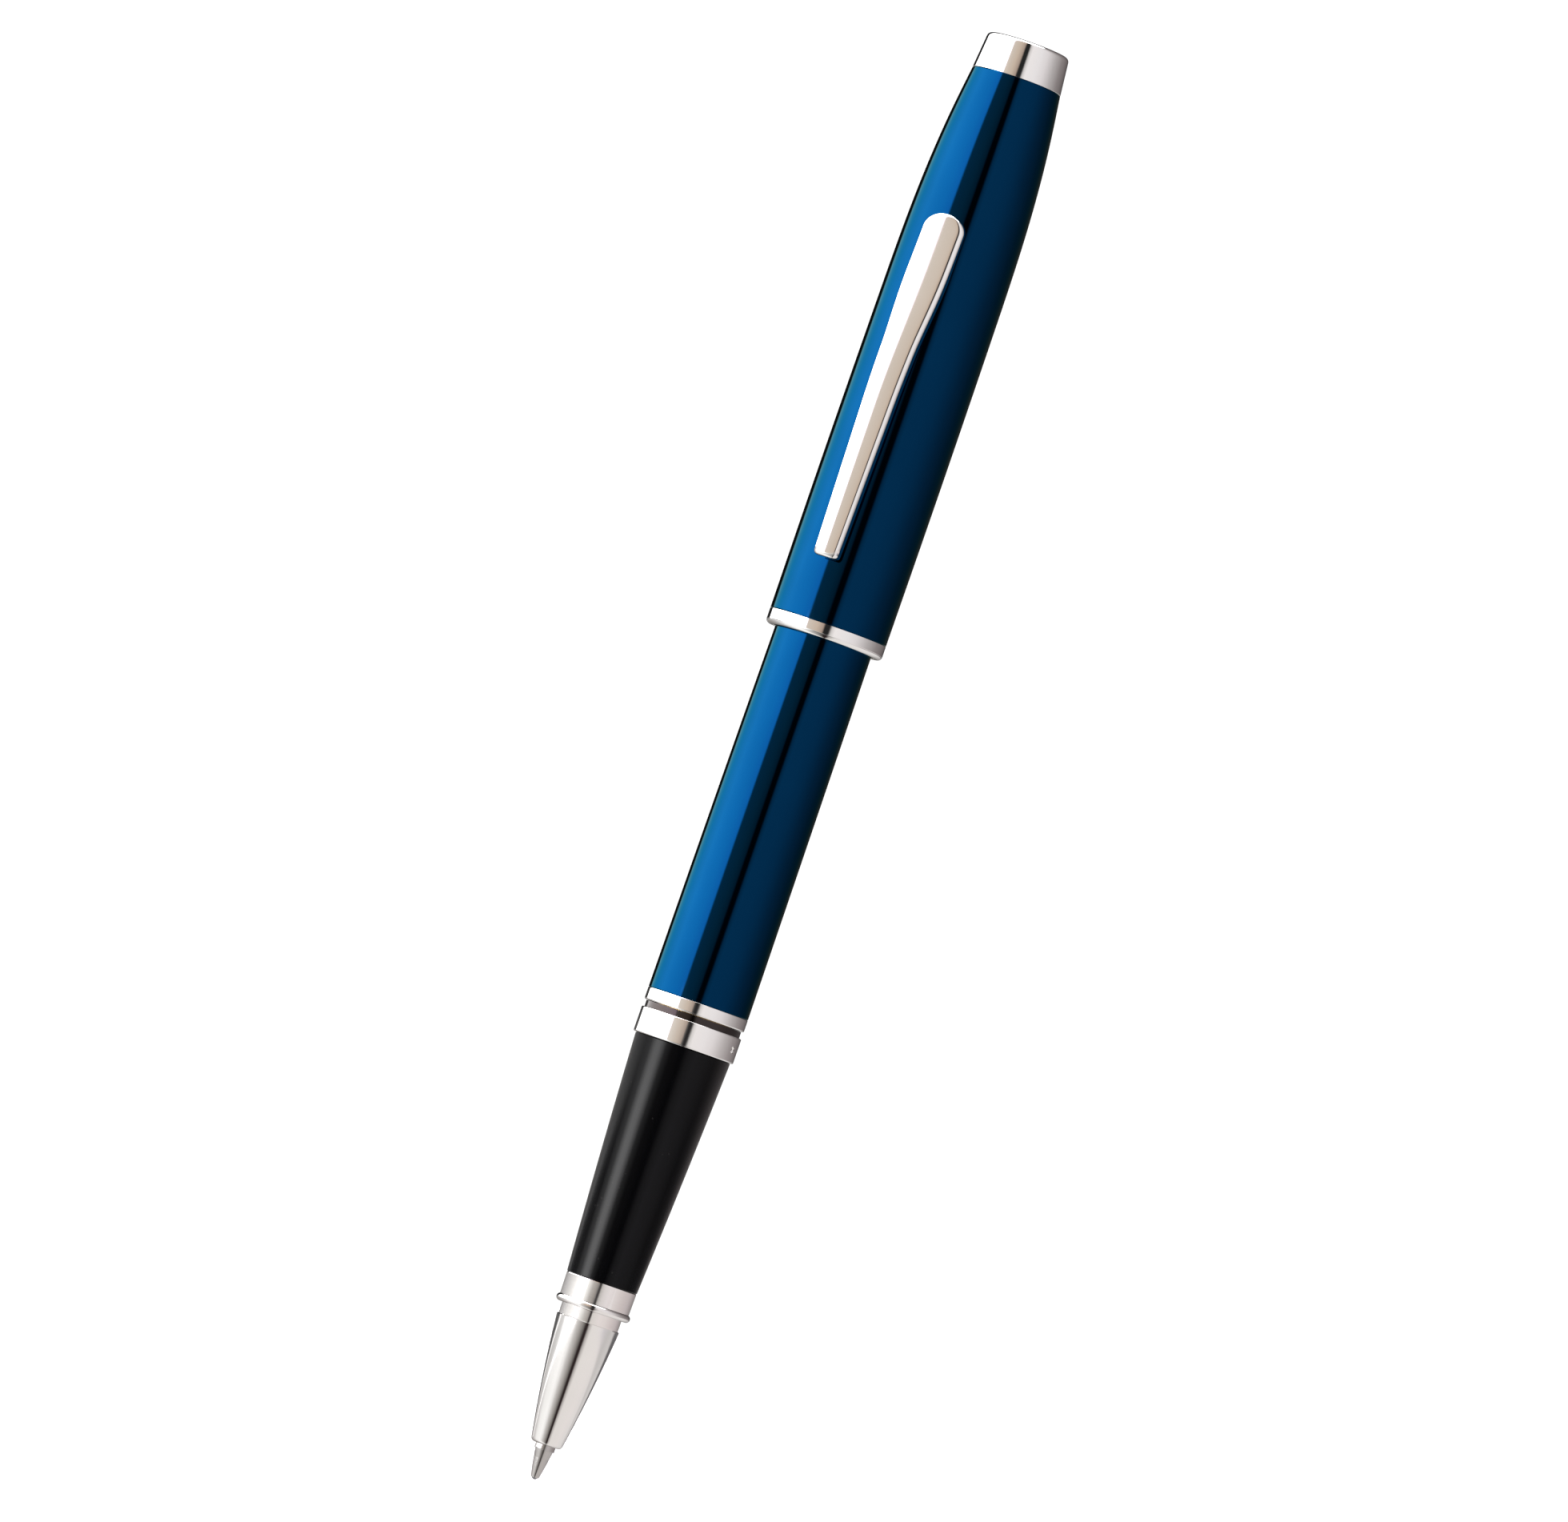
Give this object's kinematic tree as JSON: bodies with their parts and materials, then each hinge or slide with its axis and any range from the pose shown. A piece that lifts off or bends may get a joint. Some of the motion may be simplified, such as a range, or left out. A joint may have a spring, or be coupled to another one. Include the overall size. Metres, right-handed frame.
{
  "type": "rollerball pen",
  "caption": "Capped rollerball pen, cap posted on the barrel, with a sprung clip, a screw-on barrel, a tapered grip and a replaceable refill with a rolling ball.",
  "frame": {"origin": "lowest point of the writing ball, on the pen's axis", "axes": "+Z along the pen's axis from the writing tip to the finial on the posted cap; the clip is on the -Y side; the blind dimple in the section ring faces +X"},
  "size_m": [0.0124, 0.0146, 0.1535],
  "materials": {
    "blue_lacquer": "translucent candy-blue lacquer over polished brass, gloss clear coat",
    "polished_chrome": "mirror-polished plate",
    "satin_steel": "fine turned satin plate",
    "black_grip": "soft-gloss black resin",
    "dark_metal": "black plated, polished",
    "brass_core": "machined",
    "tip_steel": "ground stainless steel",
    "tip_carbide": "polished carbide",
    "white_plastic": "moulded",
    "refill_metal": "drawn tube",
    "ink_fibre": "ink-soaked bonded fibre",
    "spring_steel": "drawn wire",
    "black_plastic": "moulded"
  },
  "bodies": {
    "section": {"nose_cone": "satin_steel", "front_trim": "satin_steel", "grip_sleeve": "black_grip", "section_core": "brass_core", "section_ring": "polished_chrome", "groove_collar": "dark_metal"},
    "refill": {"tip_socket": "tip_steel", "refill_neck": "white_plastic", "refill_tube": "refill_metal", "ink_reservoir": "ink_fibre", "feed_rod": "ink_fibre", "refill_end_plug": "white_plastic"},
    "ball": {"tip_ball": "tip_carbide"},
    "spring_seat": {"refill_spring": "spring_steel", "spring_cup": "black_plastic"},
    "barrel": {"barrel_ring": "polished_chrome", "barrel_thread_insert": "brass_core", "barrel_tube": "blue_lacquer", "barrel_end_plug": "black_plastic"},
    "cap": {"cap_band": "polished_chrome", "cap_clutch": "black_plastic", "cap_liner": "black_plastic", "cap_tube": "blue_lacquer", "clip_carrier": "brass_core", "tip_seal_cup": "black_plastic", "cap_top_bush": "brass_core", "finial_nut": "brass_core", "cap_finial": "polished_chrome"},
    "clip": {"clip": "polished_chrome"}
  },
  "joints": [
    {"name": "refill_slide", "type": "slide", "parent": "section", "child": "refill", "axis": [0, 0, 1], "range_m": [0, 0.001], "stiffness_N_per_m": 300, "springref_m": -0.003, "deforming": ["refill_spring"]},
    {"name": "ball_roll", "type": "hinge", "parent": "refill", "child": "ball", "pos_m": [0, 0, 0.00035], "axis": [1, 0, 0], "continuous": true},
    {"name": "barrel_travel", "type": "slide", "parent": "section", "child": "spring_seat", "axis": [0, 0, 1], "range_m": [0, 0.0036], "deforming": ["refill_spring"]},
    {"name": "barrel_turn", "type": "hinge", "parent": "spring_seat", "child": "barrel", "pos_m": [0, 0, 0.08], "axis": [0, 0, 1], "range_deg": [0, 1621]},
    {"name": "cap_pull", "type": "slide", "parent": "barrel", "child": "cap", "axis": [0, 0, 1], "range_m": [0, 0.04]},
    {"name": "clip_flex", "type": "hinge", "parent": "cap", "child": "clip", "pos_m": [0, -0.0053, 0.1326], "axis": [-1, 0, 0], "range_deg": [0, 3], "stiffness_Nm_per_rad": 0.5, "springref_deg": -5.73}
  ],
  "couplings": [
    {"joint": "barrel_turn", "follows": "barrel_travel", "rad_per_m": 7854}
  ]
}
